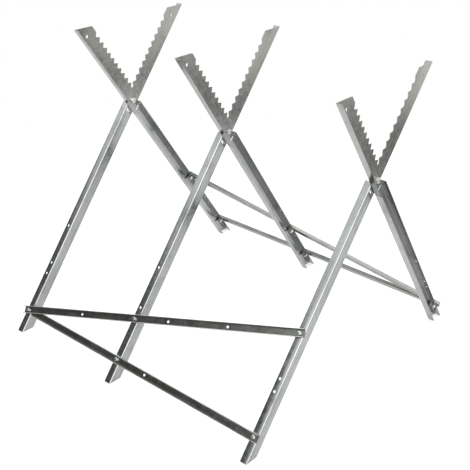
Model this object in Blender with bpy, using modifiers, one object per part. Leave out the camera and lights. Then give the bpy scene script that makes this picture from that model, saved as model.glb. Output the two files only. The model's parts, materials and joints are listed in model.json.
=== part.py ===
"""Folding sawhorse: three pressed steel X frames on one hinge line, tied by two braces front and rear.

Metres, +Z up.  X runs along the log, the front is -Y, and the feet stand on z = 0.
All six legs are the same pressing: the rear one is the front one turned half a turn about Z.
"""
import math

import bmesh
import bpy
from mathutils import Matrix, Vector

# ---- overall sizes --------------------------------------------------------------------------
HALF_ANGLE = math.radians(37.0)     # each leg's lean from upright with the sawhorse open
LEG_BELOW_PIVOT = 0.700             # along the leg, from the pivot to the ground
LEG_ABOVE_PIVOT = 0.292             # along the leg, from the pivot to the top cut
END_FRAME_SPACING = 0.784           # left frame to right frame
MIDDLE_SHARE = 0.4375               # the middle frame's place, as a share of that spacing

# ---- clearances -----------------------------------------------------------------------------
TOUCH_GAP = 0.0003                  # between two pieces that bear on each other
HOLE_CLEARANCE = 0.0003             # around a bolt in its hole

# ---- leg pressing ---------------------------------------------------------------------------
LEG_SHEET = 0.002                   # sheet thickness
LEG_BEND_RADIUS = 0.003             # outside radius of a fold
LEG_WEB_WIDTH = 0.032               # web of the channel below the pivot
PIVOT_TO_BRACE_SIDE = 0.010         # from the pivot across to the flange that carries the braces
LEG_FLANGE_DEPTH = 0.019
FOLD_ALLOWANCE = 0.0016             # what the fold takes from the flat strip
BRACE_FLANGE_START = -0.010         # along the leg, where the brace flange ends near the pivot
RELIEF_GAP = 0.002                  # between the end of that flange and the flat blade edge
NOTCH_BOTTOM = -0.031               # the other flange is cut away beside the pivot, from here
NOTCH_TOP = 0.012                   # to here at its fold
NOTCH_SLOPE = 0.018                 # and this much higher at its free edge
NOTCH_STUB = 0.0006                 # what the cut leaves standing on the web
SLOT_ALONG = -0.0305                # lanced slot below the pivot, its middle along the leg
SLOT_ACROSS = -0.001
SLOT_LENGTH = 0.016
SLOT_WIDTH = 0.0046
TIP_HOLE_ALONG = 0.263
TIP_HOLE_ACROSS = -0.002
TIP_HOLE_DIAMETER = 0.0085
BRACE_HOLE_FIRST = 0.6445           # from the pivot down to the lowest of the four brace holes
BRACE_HOLE_SPAN = 0.255             # from the lowest to the highest of them
BRACE_HOLE_FROM_WEB = 0.0117        # in from the outer face of the web

# ---- teeth ----------------------------------------------------------------------------------
TOOTH_COUNT = 10
TOOTH_PITCH = 0.0206
TOOTH_DEPTH = 0.0100
TOOTH_FIRST_TIP = 0.0437            # along the blade, from the pivot
BLADE_OVERLAP = 0.002               # how far the toothed strip laps into the web it is part of

# ---- braces ---------------------------------------------------------------------------------
BRACE_SHEET = 0.0015
BRACE_BEND_RADIUS = 0.0022
BRACE_WIDTH = 0.020
BRACE_FLANGE_DEPTH = 0.010
BRACE_OVERHANG = 0.013              # past the centre of the end hole
SPARE_HOLE_SHARE = 0.23             # the long brace's unused holes, from each end
TRIM_INSET = 0.0004                 # how far past its fold a trimmed flange is cut into the web

# ---- fasteners ------------------------------------------------------------------------------
PIVOT_BOLT = dict(shaft=0.008, across_flats=0.013, head=0.0053, nut=0.0068, length=0.020,
                  washer=0.0165, washer_thick=0.0016)
BRACE_BOLT = dict(shaft=0.006, across_flats=0.010, head=0.0040, nut=0.0050, length=0.016,
                  washer=0.0120, washer_thick=0.0012)

# the shape of every fastener, as shares of its own sizes
CROWN = ((1.20, 0.45), (0.86, 0.86), (0.50, 0.985))  # a head's dome: of its corner radius, of its height
SHANK_ROOT = 0.5                    # how far a shank runs up into its head, of the head's height
SHANK_POINT = 0.84                  # the shank's end, of its diameter
SHANK_POINT_FALL = 0.1              # the length of that taper, of its diameter
NUT_FACE = 0.96                     # a nut's bearing face, of its width across flats
NUT_CORNER_FALL = 0.6               # how far its corners fall, of what they stand past the flats
WASHER_EDGE = 0.2                   # a washer's bevel, of its thickness
PAST_CORNER = 1.02                  # a cutter that clears a nut's corners, of their radius

# ---- smoothness -----------------------------------------------------------------------------
FOLD_STEPS = 3
HOLE_SIDES = 12
ROUND_SIDES = 16
CUT_REACH = 0.05                    # how far a cutter runs past the piece
CUT_START = 0.005                   # and how far short of a single wall it starts
WELD = 0.00002                      # corners nearer than this after the cuts are one corner

# ---- sizes that follow from the ones above --------------------------------------------------
PIVOT_HEIGHT = LEG_BELOW_PIVOT * math.cos(HALF_ANGLE)
TOP_HEIGHT = PIVOT_HEIGHT + LEG_ABOVE_PIVOT * math.cos(HALF_ANGLE)
PIVOT_TO_PLAIN_SIDE = LEG_WEB_WIDTH - PIVOT_TO_BRACE_SIDE
BLADE_REACH = PIVOT_TO_BRACE_SIDE + LEG_FLANGE_DEPTH - FOLD_ALLOWANCE
BRACE_HOLES = [BRACE_HOLE_FIRST - share * BRACE_HOLE_SPAN
               for share in (0.0, MIDDLE_SHARE, 1.0 - MIDDLE_SHARE, 1.0)]
FRAME_X = {
    "left": -END_FRAME_SPACING / 2,
    "middle": -END_FRAME_SPACING / 2 + MIDDLE_SHARE * END_FRAME_SPACING,
    "right": END_FRAME_SPACING / 2,
}
BRACE_STEP = BRACE_SHEET + TOUCH_GAP  # one brace lying on another stands this much further out

# web plane: local Y across, local Z along the leg, thickness along X
WEB_PLANE = Matrix(((0, 0, 1, 0), (1, 0, 0, 0), (0, 1, 0, 0), (0, 0, 0, 1)))
# side plane: local Z along the leg, local X deep, thickness along Y
SIDE_PLANE = Matrix(((0, 1, 0, 0), (0, 0, 1, 0), (1, 0, 0, 0), (0, 0, 0, 1)))

# ---- scene ----------------------------------------------------------------------------------
for old in list(bpy.data.objects):
    bpy.data.objects.remove(old, do_unlink=True)

PARTS = bpy.data.collections.new("folding_sawhorse")
CUTTERS = bpy.data.collections.new("cutters")
bpy.context.scene.collection.children.link(PARTS)
bpy.context.scene.collection.children.link(CUTTERS)


def metal(name, colour, roughness):
    """A bare metal finish."""
    material = bpy.data.materials.new(name)
    material.use_nodes = True
    shader = material.node_tree.nodes["Principled BSDF"]
    shader.inputs["Base Color"].default_value = (*colour, 1.0)
    shader.inputs["Roughness"].default_value = roughness
    shader.inputs["Metallic"].default_value = 1.0
    material.diffuse_color = (*colour, 1.0)
    return material


LEG_STEEL = metal("galvanised_leg_steel", (0.58, 0.58, 0.57), 0.38)
BRACE_STEEL = metal("galvanised_brace_steel", (0.48, 0.48, 0.46), 0.40)
PLATED_STEEL = metal("zinc_plated_fastener_steel", (0.70, 0.70, 0.69), 0.30)


# ---- modelling helpers ----------------------------------------------------------------------
def add_object(name, mesh, collection):
    obj = bpy.data.objects.new(name, mesh)
    collection.objects.link(obj)
    return obj


def evaluated_mesh(obj, name):
    """The object's mesh with its modifiers applied, as new data."""
    bpy.context.view_layer.update()
    depsgraph = bpy.context.evaluated_depsgraph_get()
    mesh = bpy.data.meshes.new_from_object(obj.evaluated_get(depsgraph), depsgraph=depsgraph)
    mesh.name = name
    return mesh


def finished_mesh(blank, name, material):
    """Bake a blank, weld its cuts, give it its metal and shade its folds smooth; the blank goes."""
    mesh = evaluated_mesh(blank, name)
    bpy.data.objects.remove(blank, do_unlink=True)
    body = bmesh.new()
    body.from_mesh(mesh)
    bmesh.ops.remove_doubles(body, verts=body.verts, dist=WELD)
    bmesh.ops.dissolve_degenerate(body, edges=body.edges, dist=WELD)
    body.to_mesh(mesh)
    body.free()
    mesh.materials.clear()
    mesh.materials.append(material)
    mesh.shade_smooth()
    mesh.set_sharp_from_angle(angle=math.radians(30.0))
    return mesh


def plate(name, outline, low, high, matrix, collection):
    """A flat outline made solid from low to high along its own Z, then turned by matrix."""
    curve = bpy.data.curves.new(name, "CURVE")
    curve.dimensions = "2D"
    curve.fill_mode = "BOTH"
    curve.extrude = (high - low) / 2
    spline = curve.splines.new("POLY")
    spline.points.add(len(outline) - 1)
    for point, (u, v) in zip(spline.points, outline):
        point.co = (u, v, 0.0, 1.0)
    spline.use_cyclic_u = True
    flat = add_object(name + "_outline", curve, collection)
    mesh = evaluated_mesh(flat, name)
    bpy.data.objects.remove(flat, do_unlink=True)
    mesh.transform(matrix @ Matrix.Translation((0.0, 0.0, (high + low) / 2)))
    body = bmesh.new()
    body.from_mesh(mesh)
    bmesh.ops.remove_doubles(body, verts=body.verts, dist=1e-6)
    bmesh.ops.recalc_face_normals(body, faces=body.faces)
    body.to_mesh(mesh)
    body.free()
    return add_object(name, mesh, collection)


def hide_cutter(cutter):
    cutter.hide_render = True
    cutter.display_type = "WIRE"
    return cutter


def rod(name, diameter, low, high, matrix, collection, sides=HOLE_SIDES):
    """A round bar along its own Z from low to high, then turned by matrix."""
    body = bmesh.new()
    bmesh.ops.create_cone(body, cap_ends=True, segments=sides, radius1=diameter / 2,
                          radius2=diameter / 2, depth=high - low,
                          matrix=matrix @ Matrix.Translation((0.0, 0.0, (high + low) / 2)))
    mesh = bpy.data.meshes.new(name)
    body.to_mesh(mesh)
    body.free()
    return add_object(name, mesh, collection)


def block(name, corner, opposite, matrix, collection):
    """A box between two corners, then turned by matrix."""
    size = Vector(opposite) - Vector(corner)
    centre = (Vector(opposite) + Vector(corner)) / 2
    body = bmesh.new()
    bmesh.ops.create_cube(body, size=1.0,
                          matrix=matrix @ Matrix.Translation(centre) @ Matrix.Diagonal((*size, 1.0)))
    mesh = bpy.data.meshes.new(name)
    body.to_mesh(mesh)
    body.free()
    return add_object(name, mesh, collection)


def combine(target, tool, operation):
    """Join, cut or intersect the target with a tool body."""
    hide_cutter(tool)
    modifier = target.modifiers.new(tool.name, "BOOLEAN")
    modifier.operation = operation
    modifier.solver = "EXACT"
    modifier.object = tool


def turned(name, profile, collection, sides=ROUND_SIDES, closed=False):
    """A profile of (radius, height) points, listed top to bottom, turned about Z."""
    mesh = bpy.data.meshes.new(name)
    edges = [(i, i + 1) for i in range(len(profile) - 1)]
    if closed:
        edges.append((len(profile) - 1, 0))
    mesh.from_pydata([(radius, 0.0, height) for radius, height in profile], edges, [])
    obj = add_object(name, mesh, collection)
    screw = obj.modifiers.new("turn", "SCREW")
    screw.axis = "Z"
    screw.angle = math.tau
    screw.steps = sides
    screw.render_steps = sides
    screw.use_merge_vertices = True
    screw.merge_threshold = 1e-5
    screw.use_normal_calculate = True
    return obj


def fold_arc(centre_x, centre_y, radius, start, end):
    """Points along the curve of a fold."""
    steps = [start + (end - start) * i / FOLD_STEPS for i in range(FOLD_STEPS + 1)]
    return [(centre_x + radius * math.cos(a), centre_y + radius * math.sin(a)) for a in steps]


def channel_outline(low, high, depth, sheet, radius):
    """A folded channel's cross-section: web outer face on x = 0, flanges towards -X."""
    inner = radius - sheet
    quarter = math.pi / 2
    outline = [(-depth, low)]
    outline += fold_arc(-radius, low + radius, radius, -quarter, 0.0)
    outline += fold_arc(-radius, high - radius, radius, 0.0, quarter)
    outline += [(-depth, high), (-depth, high - sheet)]
    outline += fold_arc(-radius, high - radius, inner, quarter, 0.0)
    outline += fold_arc(-radius, low + radius, inner, 0.0, -quarter)
    outline += [(-depth, low + sheet)]
    return outline


def toothed_outline():
    """The flat strip beyond the web: its teeth, across and along the blade."""
    inside = -(PIVOT_TO_BRACE_SIDE - LEG_BEND_RADIUS) + BLADE_OVERLAP
    tip = -BLADE_REACH
    root = tip + TOOTH_DEPTH
    start = BRACE_FLANGE_START + RELIEF_GAP
    corner = RELIEF_GAP
    points = [(inside, start), (tip + corner, start), (tip, start + corner)]
    for index in range(-1, TOOTH_COUNT + 1):
        along = TOOTH_FIRST_TIP + index * TOOTH_PITCH
        points.append((tip, along))
        if index < TOOTH_COUNT:
            points.append((root, along + TOOTH_PITCH / 2))
    end = LEG_ABOVE_PIVOT + CUT_REACH
    points += [(tip, end), (inside, end)]
    return points


def stadium(length, width):
    """A slot's outline with round ends, along its own Y."""
    half = (length - width) / 2
    points = []
    for centre, start in ((half, 0.0), (-half, math.pi)):
        for step in range(HOLE_SIDES // 2 + 1):
            angle = start + math.pi * step / (HOLE_SIDES // 2)
            points.append((width / 2 * math.cos(angle), centre + width / 2 * math.sin(angle)))
    return points


# ---- leg ------------------------------------------------------------------------------------
FRONT_LEG_TURN = Matrix.Rotation(-HALF_ANGLE, 4, "X")
FRONT_LEG_PLACE = Matrix.Translation((0.0, 0.0, PIVOT_HEIGHT)) @ FRONT_LEG_TURN


def leg_mesh():
    """The pressing in its own frame: origin on the pivot, Z up the leg, web outer face on x = 0."""
    bottom = -LEG_BELOW_PIVOT - CUT_REACH
    top = LEG_ABOVE_PIVOT + CUT_REACH
    leg = plate("leg_blank",
                channel_outline(-PIVOT_TO_BRACE_SIDE, PIVOT_TO_PLAIN_SIDE, LEG_FLANGE_DEPTH,
                                LEG_SHEET, LEG_BEND_RADIUS),
                bottom, top, Matrix.Identity(4), CUTTERS)
    # above the pivot the brace-side flange is left flat and toothed
    combine(leg, block("unfolded_flange_cut",
                       (-LEG_FLANGE_DEPTH - CUT_REACH, -PIVOT_TO_BRACE_SIDE - CUT_REACH,
                        BRACE_FLANGE_START),
                       (CUT_REACH, -(PIVOT_TO_BRACE_SIDE - LEG_BEND_RADIUS), top + CUT_REACH),
                       Matrix.Identity(4), CUTTERS), "DIFFERENCE")
    combine(leg, plate("toothed_strip", toothed_outline(), -LEG_SHEET, 0.0, WEB_PLANE, CUTTERS),
            "UNION")
    # the plain flange is cut away beside the pivot
    notch_floor = -LEG_SHEET - NOTCH_STUB
    free_edge = -LEG_FLANGE_DEPTH - CUT_REACH
    slope = NOTCH_SLOPE / (LEG_FLANGE_DEPTH + notch_floor)
    notch = [(NOTCH_BOTTOM, notch_floor),
             (NOTCH_BOTTOM, free_edge),
             (NOTCH_TOP + slope * (notch_floor - free_edge), free_edge),
             (NOTCH_TOP, notch_floor)]
    combine(leg, plate("flange_notch", notch,
                       PIVOT_TO_PLAIN_SIDE - LEG_BEND_RADIUS - LEG_SHEET,
                       PIVOT_TO_PLAIN_SIDE + CUT_REACH, SIDE_PLANE, CUTTERS), "DIFFERENCE")
    # the slot lies parallel to the other leg
    slot_turn = Matrix.Rotation(2 * HALF_ANGLE, 4, "X")
    slot_place = Matrix.Translation((0.0, -SLOT_ACROSS, SLOT_ALONG)) @ slot_turn
    combine(leg, plate("lanced_slot", stadium(SLOT_LENGTH, SLOT_WIDTH), -CUT_REACH, CUT_REACH,
                       slot_place @ WEB_PLANE, CUTTERS), "DIFFERENCE")
    # round holes through the web
    through_web = Matrix.Rotation(math.pi / 2, 4, "Y")
    combine(leg, rod("pivot_hole", PIVOT_BOLT["shaft"] + 2 * HOLE_CLEARANCE, -CUT_REACH,
                     CUT_REACH, through_web, CUTTERS, ROUND_SIDES), "DIFFERENCE")
    combine(leg, rod("tip_hole", TIP_HOLE_DIAMETER, -CUT_REACH, CUT_REACH,
                     Matrix.Translation((0.0, -TIP_HOLE_ACROSS, TIP_HOLE_ALONG)) @ through_web,
                     CUTTERS), "DIFFERENCE")
    # holes for the braces, through the brace-side flange only
    through_flange = Matrix.Rotation(math.pi / 2, 4, "X")
    for number, down in enumerate(BRACE_HOLES, 1):
        place = Matrix.Translation((-BRACE_HOLE_FROM_WEB, 0.0, -down)) @ through_flange
        combine(leg, rod("leg_brace_hole_%d" % number,
                         BRACE_BOLT["shaft"] + 2 * HOLE_CLEARANCE,
                         PIVOT_TO_BRACE_SIDE - LEG_SHEET - CUT_START,
                         PIVOT_TO_BRACE_SIDE + CUT_REACH, place, CUTTERS), "DIFFERENCE")
    # both ends are cut level with the ground
    into_leg = FRONT_LEG_PLACE.inverted()
    reach = LEG_BELOW_PIVOT
    combine(leg, block("ground_cut", (-reach, -reach, -reach), (reach, reach, 0.0),
                       into_leg, CUTTERS), "DIFFERENCE")
    combine(leg, block("top_cut", (-reach, -reach, TOP_HEIGHT), (reach, reach, TOP_HEIGHT + reach),
                       into_leg, CUTTERS), "DIFFERENCE")
    return finished_mesh(leg, "leg_pressing", LEG_STEEL)


# ---- braces ---------------------------------------------------------------------------------
def brace_mesh(name, length, hole_shares, trims=()):
    """A channel along Z: its origin is its first end hole, its open side is towards -X."""
    brace = plate(name + "_blank",
                  channel_outline(-BRACE_WIDTH / 2, BRACE_WIDTH / 2, BRACE_FLANGE_DEPTH,
                                  BRACE_SHEET, BRACE_BEND_RADIUS),
                  -BRACE_OVERHANG, length + BRACE_OVERHANG, Matrix.Identity(4), CUTTERS)
    through_web = Matrix.Rotation(math.pi / 2, 4, "Y")
    for number, share in enumerate(hole_shares, 1):
        combine(brace, rod("%s_hole_%d" % (name, number),
                           BRACE_BOLT["shaft"] + 2 * HOLE_CLEARANCE, -CUT_REACH, CUT_REACH,
                           Matrix.Translation((0.0, 0.0, share * length)) @ through_web,
                           CUTTERS), "DIFFERENCE")
    for number, (side, up_to) in enumerate(trims, 1):
        near = BRACE_WIDTH / 2 - BRACE_BEND_RADIUS - TRIM_INSET
        low, high = sorted((side * near, side * (BRACE_WIDTH / 2 + CUT_REACH)))
        combine(brace, block("%s_flange_trim_%d" % (name, number),
                             (-BRACE_FLANGE_DEPTH - CUT_REACH, low, -BRACE_OVERHANG - CUT_REACH),
                             (CUT_REACH, high, up_to), Matrix.Identity(4), CUTTERS), "DIFFERENCE")
    return finished_mesh(brace, name, BRACE_STEEL)


def leg_point(frame, down, out):
    """A point on a front leg's brace line: down from the pivot, and out from its centre line."""
    local = Vector((-BRACE_HOLE_FROM_WEB, -out, -down))
    return Vector((FRAME_X[frame] - TOUCH_GAP / 2, 0.0, 0.0)) + FRONT_LEG_PLACE @ local


OUTWARD = (FRONT_LEG_TURN @ Vector((0.0, -1.0, 0.0))).normalized()
LEG_FACE = PIVOT_TO_BRACE_SIDE + TOUCH_GAP


def brace_place(start, end):
    """Stand a brace on its first hole, its flanges pointing away from the legs."""
    along = (end - start).normalized()
    inward = -(OUTWARD - OUTWARD.dot(along) * along).normalized()
    across = along.cross(inward)
    turn = Matrix((inward, across, along)).transposed().to_4x4()
    return Matrix.Translation(start) @ turn


LOWER_START = leg_point("left", BRACE_HOLES[0], LEG_FACE)
LOWER_END = leg_point("right", BRACE_HOLES[0], LEG_FACE)
UPPER_START = leg_point("left", BRACE_HOLES[0], LEG_FACE + BRACE_STEP)
UPPER_END = leg_point("right", BRACE_HOLES[3], LEG_FACE)
UPPER_LENGTH = (UPPER_END - UPPER_START).length
BRACE_ANGLE = math.atan2(BRACE_HOLE_SPAN, END_FRAME_SPACING)


def flange_trim(side):
    """How far along the lower brace the upper one still lies over that flange."""
    edge = BRACE_WIDTH / 2
    return (edge / math.cos(BRACE_ANGLE) + side * edge) / math.tan(BRACE_ANGLE) + BRACE_BEND_RADIUS


# ---- fasteners ------------------------------------------------------------------------------
def hexagon(name, across_flats, low, high):
    return rod(name, across_flats / math.cos(math.pi / 6), low, high, Matrix.Identity(4), CUTTERS, 6)


def corner_radius(kind):
    """From a hexagon's middle to its corners."""
    return kind["across_flats"] / math.cos(math.pi / 6) / 2


def bolt_mesh(name, kind):
    """A hex bolt: head below z = 0 with a domed top, shank up the Z axis."""
    corner = corner_radius(kind)
    head = hexagon(name + "_blank", kind["across_flats"], -kind["head"], 0.0)
    dome = [(out * corner, -down * kind["head"]) for out, down in CROWN]
    crown = turned(name + "_crown", [
        (0.0, CUT_REACH), (dome[0][0], CUT_REACH), *dome, (0.0, -kind["head"] - TOUCH_GAP)], CUTTERS)
    combine(head, crown, "INTERSECT")
    radius = kind["shaft"] / 2
    root = -SHANK_ROOT * kind["head"]
    shank = turned(name + "_shank", [
        (0.0, kind["length"]), (SHANK_POINT * radius, kind["length"]),
        (radius, kind["length"] - SHANK_POINT_FALL * kind["shaft"]), (radius, root), (0.0, root)],
        CUTTERS, HOLE_SIDES)
    combine(head, shank, "UNION")
    return finished_mesh(head, name, PLATED_STEEL)


def nut_mesh(name, kind):
    """A hex nut from z = 0 upwards, its corners turned off at both faces."""
    corner = corner_radius(kind)
    flat = kind["across_flats"] / 2
    height = kind["nut"]
    fall = NUT_CORNER_FALL * (corner - flat)
    face = NUT_FACE * flat
    clear = PAST_CORNER * corner
    nut = hexagon(name + "_blank", kind["across_flats"], 0.0, height)
    turned_off = turned(name + "_chamfer", [
        (0.0, height + TOUCH_GAP), (face, height + TOUCH_GAP), (face, height),
        (clear, height - fall), (clear, fall), (face, 0.0),
        (face, -TOUCH_GAP), (0.0, -TOUCH_GAP)], CUTTERS)
    combine(nut, turned_off, "INTERSECT")
    combine(nut, rod(name + "_bore", kind["shaft"] + 2 * HOLE_CLEARANCE, -CUT_REACH, CUT_REACH,
                     Matrix.Identity(4), CUTTERS), "DIFFERENCE")
    return finished_mesh(nut, name, PLATED_STEEL)


def washer_mesh(name, kind):
    """A flat washer from z = 0 upwards."""
    inner = kind["shaft"] / 2 + HOLE_CLEARANCE
    outer = kind["washer"] / 2
    thick = kind["washer_thick"]
    edge = WASHER_EDGE * thick
    ring = turned(name + "_blank", [
        (inner, thick), (outer - edge, thick), (outer, thick - edge), (outer, edge),
        (outer - edge, 0.0), (inner, 0.0)], CUTTERS, closed=True)
    return finished_mesh(ring, name, PLATED_STEEL)


# ---- standing the pieces --------------------------------------------------------------------
HALF_TURN = Matrix.Rotation(math.pi, 4, "Z")
HINGE = {}
for side in ("front", "rear"):
    empty = bpy.data.objects.new("%s_frame_hinge" % side, None)
    empty.location = (0.0, 0.0, PIVOT_HEIGHT)
    PARTS.objects.link(empty)
    HINGE[side] = empty


def stand(name, mesh, world):
    """Put a piece in place and hang it on the hinge of the frame it belongs to."""
    obj = add_object(name, mesh, PARTS)
    hinge = HINGE["front" if name.startswith("front") else "rear"]
    obj.parent = hinge
    local = Matrix.Translation(-hinge.location) @ world
    obj.location = local.to_translation()
    obj.rotation_euler = local.to_euler()


def fastener_set(name, place, kind, meshes, outer_face, inner_face, head_washer):
    """A bolt from the outer face inwards, its washers and its nut; place looks inwards along Z."""
    bolt, nut, washer = meshes
    under_head = outer_face - TOUCH_GAP
    over_washer = inner_face + 2 * TOUCH_GAP + kind["washer_thick"]
    rows = [("washer", washer, inner_face + TOUCH_GAP), ("nut", nut, over_washer)]
    if head_washer:
        rows.append(("head_washer", washer, under_head - kind["washer_thick"]))
        under_head -= kind["washer_thick"] + TOUCH_GAP
    rows.append(("bolt", bolt, under_head))
    for piece, mesh, along in rows:
        stand(name.replace("%", piece), mesh, place @ Matrix.Translation((0.0, 0.0, along)))


# ---- assembly -------------------------------------------------------------------------------
LEG = leg_mesh()
UPPER_BRACE = brace_mesh("upper_brace", UPPER_LENGTH,
                         (0.0, SPARE_HOLE_SHARE, MIDDLE_SHARE, 1.0 - MIDDLE_SHARE,
                          1.0 - SPARE_HOLE_SHARE, 1.0))
LOWER_BRACE = brace_mesh("lower_brace", END_FRAME_SPACING,
                         (0.0, MIDDLE_SHARE, 1.0 - MIDDLE_SHARE, 1.0),
                         ((1, flange_trim(1)), (-1, flange_trim(-1) + BRACE_OVERHANG)))
PIVOT_SET = (bolt_mesh("pivot_bolt_m8", PIVOT_BOLT), nut_mesh("pivot_nut_m8", PIVOT_BOLT),
             washer_mesh("pivot_washer_m8", PIVOT_BOLT))
BRACE_SET = (bolt_mesh("brace_bolt_m6", BRACE_BOLT), nut_mesh("brace_nut_m6", BRACE_BOLT),
             washer_mesh("brace_washer_m6", BRACE_BOLT))

for frame, x in FRAME_X.items():
    shift = Matrix.Translation((x - TOUCH_GAP / 2, 0.0, 0.0))
    stand("front_leg_%s" % frame, LEG, shift @ FRONT_LEG_PLACE)
    shift = Matrix.Translation((x + TOUCH_GAP / 2, 0.0, 0.0))
    stand("rear_leg_%s" % frame, LEG, shift @ HALF_TURN @ FRONT_LEG_PLACE)
    # the pivot bolt's head is on the rear leg's side, its shank points to -X
    towards_front_leg = Matrix.Translation((x, 0.0, PIVOT_HEIGHT)) @ Matrix.Rotation(
        -math.pi / 2, 4, "Y")
    web = LEG_SHEET + TOUCH_GAP / 2
    fastener_set("pivot_%%_%s" % frame, towards_front_leg, PIVOT_BOLT, PIVOT_SET,
                 -web, web, True)

for side, turn in (("front", Matrix.Identity(4)), ("rear", HALF_TURN)):
    stand("%s_lower_brace" % side, LOWER_BRACE, turn @ brace_place(LOWER_START, LOWER_END))
    stand("%s_upper_brace" % side, UPPER_BRACE, turn @ brace_place(UPPER_START, UPPER_END))
    # each bolt: its frame, its hole in the leg, and how many brace sheets lie under its head
    near, far = ("left", "right") if side == "front" else ("right", "left")
    middle_share = MIDDLE_SHARE if side == "front" else 1.0 - MIDDLE_SHARE
    middle_hole = 1 if side == "front" else 2
    places = (
        (near, 0, BRACE_SHEET + BRACE_STEP),
        ("middle", 0, BRACE_SHEET),
        (far, 0, BRACE_SHEET),
        ("middle", middle_hole, BRACE_SHEET + (1.0 - middle_share) * BRACE_STEP),
        (far, 3, BRACE_SHEET),
    )
    for number, (frame, hole, stack) in enumerate(places, 1):
        mirrored = {"left": "right", "right": "left"}.get(frame, "middle")
        point = leg_point(frame, BRACE_HOLES[hole], PIVOT_TO_BRACE_SIDE)
        if side == "rear":
            point = HALF_TURN @ leg_point(mirrored, BRACE_HOLES[hole], PIVOT_TO_BRACE_SIDE)
            point.x = FRAME_X[frame] + TOUCH_GAP / 2 + BRACE_HOLE_FROM_WEB
        inward = -(turn.to_3x3() @ OUTWARD)
        aim = inward.to_track_quat("Z", "Y").to_matrix().to_4x4()
        fastener_set("%s_brace_%%_%d" % (side, number), Matrix.Translation(point) @ aim,
                     BRACE_BOLT, BRACE_SET, -(stack + TOUCH_GAP), LEG_SHEET, False)

for tool in CUTTERS.objects:
    hide_cutter(tool)
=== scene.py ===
"""Folding sawhorse: its finished pressed steel legs, braces and fasteners, and a plain studio.

Every piece stands where the measured frame says, in metres, +Z up, with the front towards -Y.
"""
import json
import math

import bmesh
import bpy
from bpy.props import FloatProperty, FloatVectorProperty, IntProperty, PointerProperty
from mathutils import Matrix, Vector


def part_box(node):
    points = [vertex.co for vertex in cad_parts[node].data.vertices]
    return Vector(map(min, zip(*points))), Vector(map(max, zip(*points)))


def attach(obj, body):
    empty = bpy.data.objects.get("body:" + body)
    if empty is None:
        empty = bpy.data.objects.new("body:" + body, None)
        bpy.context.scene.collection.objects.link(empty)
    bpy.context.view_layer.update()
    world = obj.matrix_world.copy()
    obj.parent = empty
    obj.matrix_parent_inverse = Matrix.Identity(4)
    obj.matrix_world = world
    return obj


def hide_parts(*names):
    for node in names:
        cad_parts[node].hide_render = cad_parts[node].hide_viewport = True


bl_info = {
    "name": "Folding Sawhorse",
    "version": (1, 0, 0),
    "blender": (4, 5, 0),
    "location": "View3D > Sidebar > Sawhorse",
    "description": "Builds a folding steel sawhorse's finished pieces around its measured frame",
    "category": "Add Mesh",
}

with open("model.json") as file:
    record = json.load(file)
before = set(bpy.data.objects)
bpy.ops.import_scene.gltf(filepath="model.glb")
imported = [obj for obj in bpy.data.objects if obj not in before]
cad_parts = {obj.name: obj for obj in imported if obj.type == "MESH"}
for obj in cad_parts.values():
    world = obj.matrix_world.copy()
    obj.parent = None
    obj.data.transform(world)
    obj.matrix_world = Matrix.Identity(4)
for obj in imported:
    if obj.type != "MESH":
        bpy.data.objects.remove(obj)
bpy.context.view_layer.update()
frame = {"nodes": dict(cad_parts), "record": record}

# ---- where things are ----
FOLD = frame["record"]["behaviour"]["joints"][0]
PIVOT = Vector(FOLD["pos_m"])
HALF_ANGLE = math.radians(37.0)  # each leg's lean from upright
SIDES = ("front", "rear")
FRAMES = ("left", "middle", "right")
HALF_TURN = Matrix.Rotation(math.pi, 4, "Z")
LEG_TURN = Matrix.Rotation(-HALF_ANGLE, 4, "X")
OUTWARD = LEG_TURN.to_3x3() @ Vector((0.0, -1.0, 0.0))  # the way the front braces' backs look
TOUCH_GAP = 0.0003  # between two pieces that bear on each other
PAST = 0.05  # how far a cutter runs past the piece
ROLLED = "rolled"  # a pressing's own coordinates, with Z along it
FIT = 0.0012  # how far a piece's box may differ from its solid's
SHORT_BAR = 0.012  # length of a drill bar through one sheet
HOLE_SIDES = 40  # sides of a drilled hole
THREAD_SIDES = 24  # sides of a threaded shank
THREAD_RINGS = 8.0  # rings of points in one turn of a thread
HOLE_GAP = 0.0003  # around a bolt in its hole

# ---- how the metals wear and bulge ----
LIP_START = 0.0086  # across a brace, where the painted highlight along the flange edges begins
LIP_BLEND = 0.0004  # over which they fade in
LIP_DEEP = (-0.0090, -0.0097)  # into a brace's open side, where the sheared lips begin
# pale zinc painted along the braces' flange lips: a painted highlight
LIP_HIGHLIGHT_ZINC = (0.86, 0.86, 0.84)
BOW = 3.6  # a flange's height falls by this much times depth squared
BOW_CENTRE = 0.0095  # depth of the middle of a leg's flange
LEG_GRAIN = (0.55, 0.22)  # how strong the streaks and the spangle are
BRACE_GRAIN = (0.55, 0.20)
PLATE_GRAIN = (0.12, 0.05)
DRAWN_OUT = (1.0, 1.0, 0.012)  # stretches the streaks along the piece
WAVINESS = 0.0005  # height of the sheet's slow waves
# how a pattern shifts: step and start from side to side, then from frame to frame
LEG_SHIFT = (1.7, 0.37, 2.3, 0.6)
BRACE_SHIFT = (2.1, 1.3, 0.4)  # steps by side and by kind, and its start


def distance(name, description, default):
    """A length that a user may change."""
    return FloatProperty(name=name, description=description, default=default, min=0.0,
                         unit="LENGTH", subtype="DISTANCE", precision=5)


def colour(name, description, default):
    """A colour that a user may change."""
    return FloatVectorProperty(name=name, description=description, default=default, min=0.0,
                               max=1.0, size=3, subtype="COLOR")


def amount(name, description, default, high=10.0):
    """A plain number that a user may change."""
    return FloatProperty(name=name, description=description, default=default, min=0.0, max=high)


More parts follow.
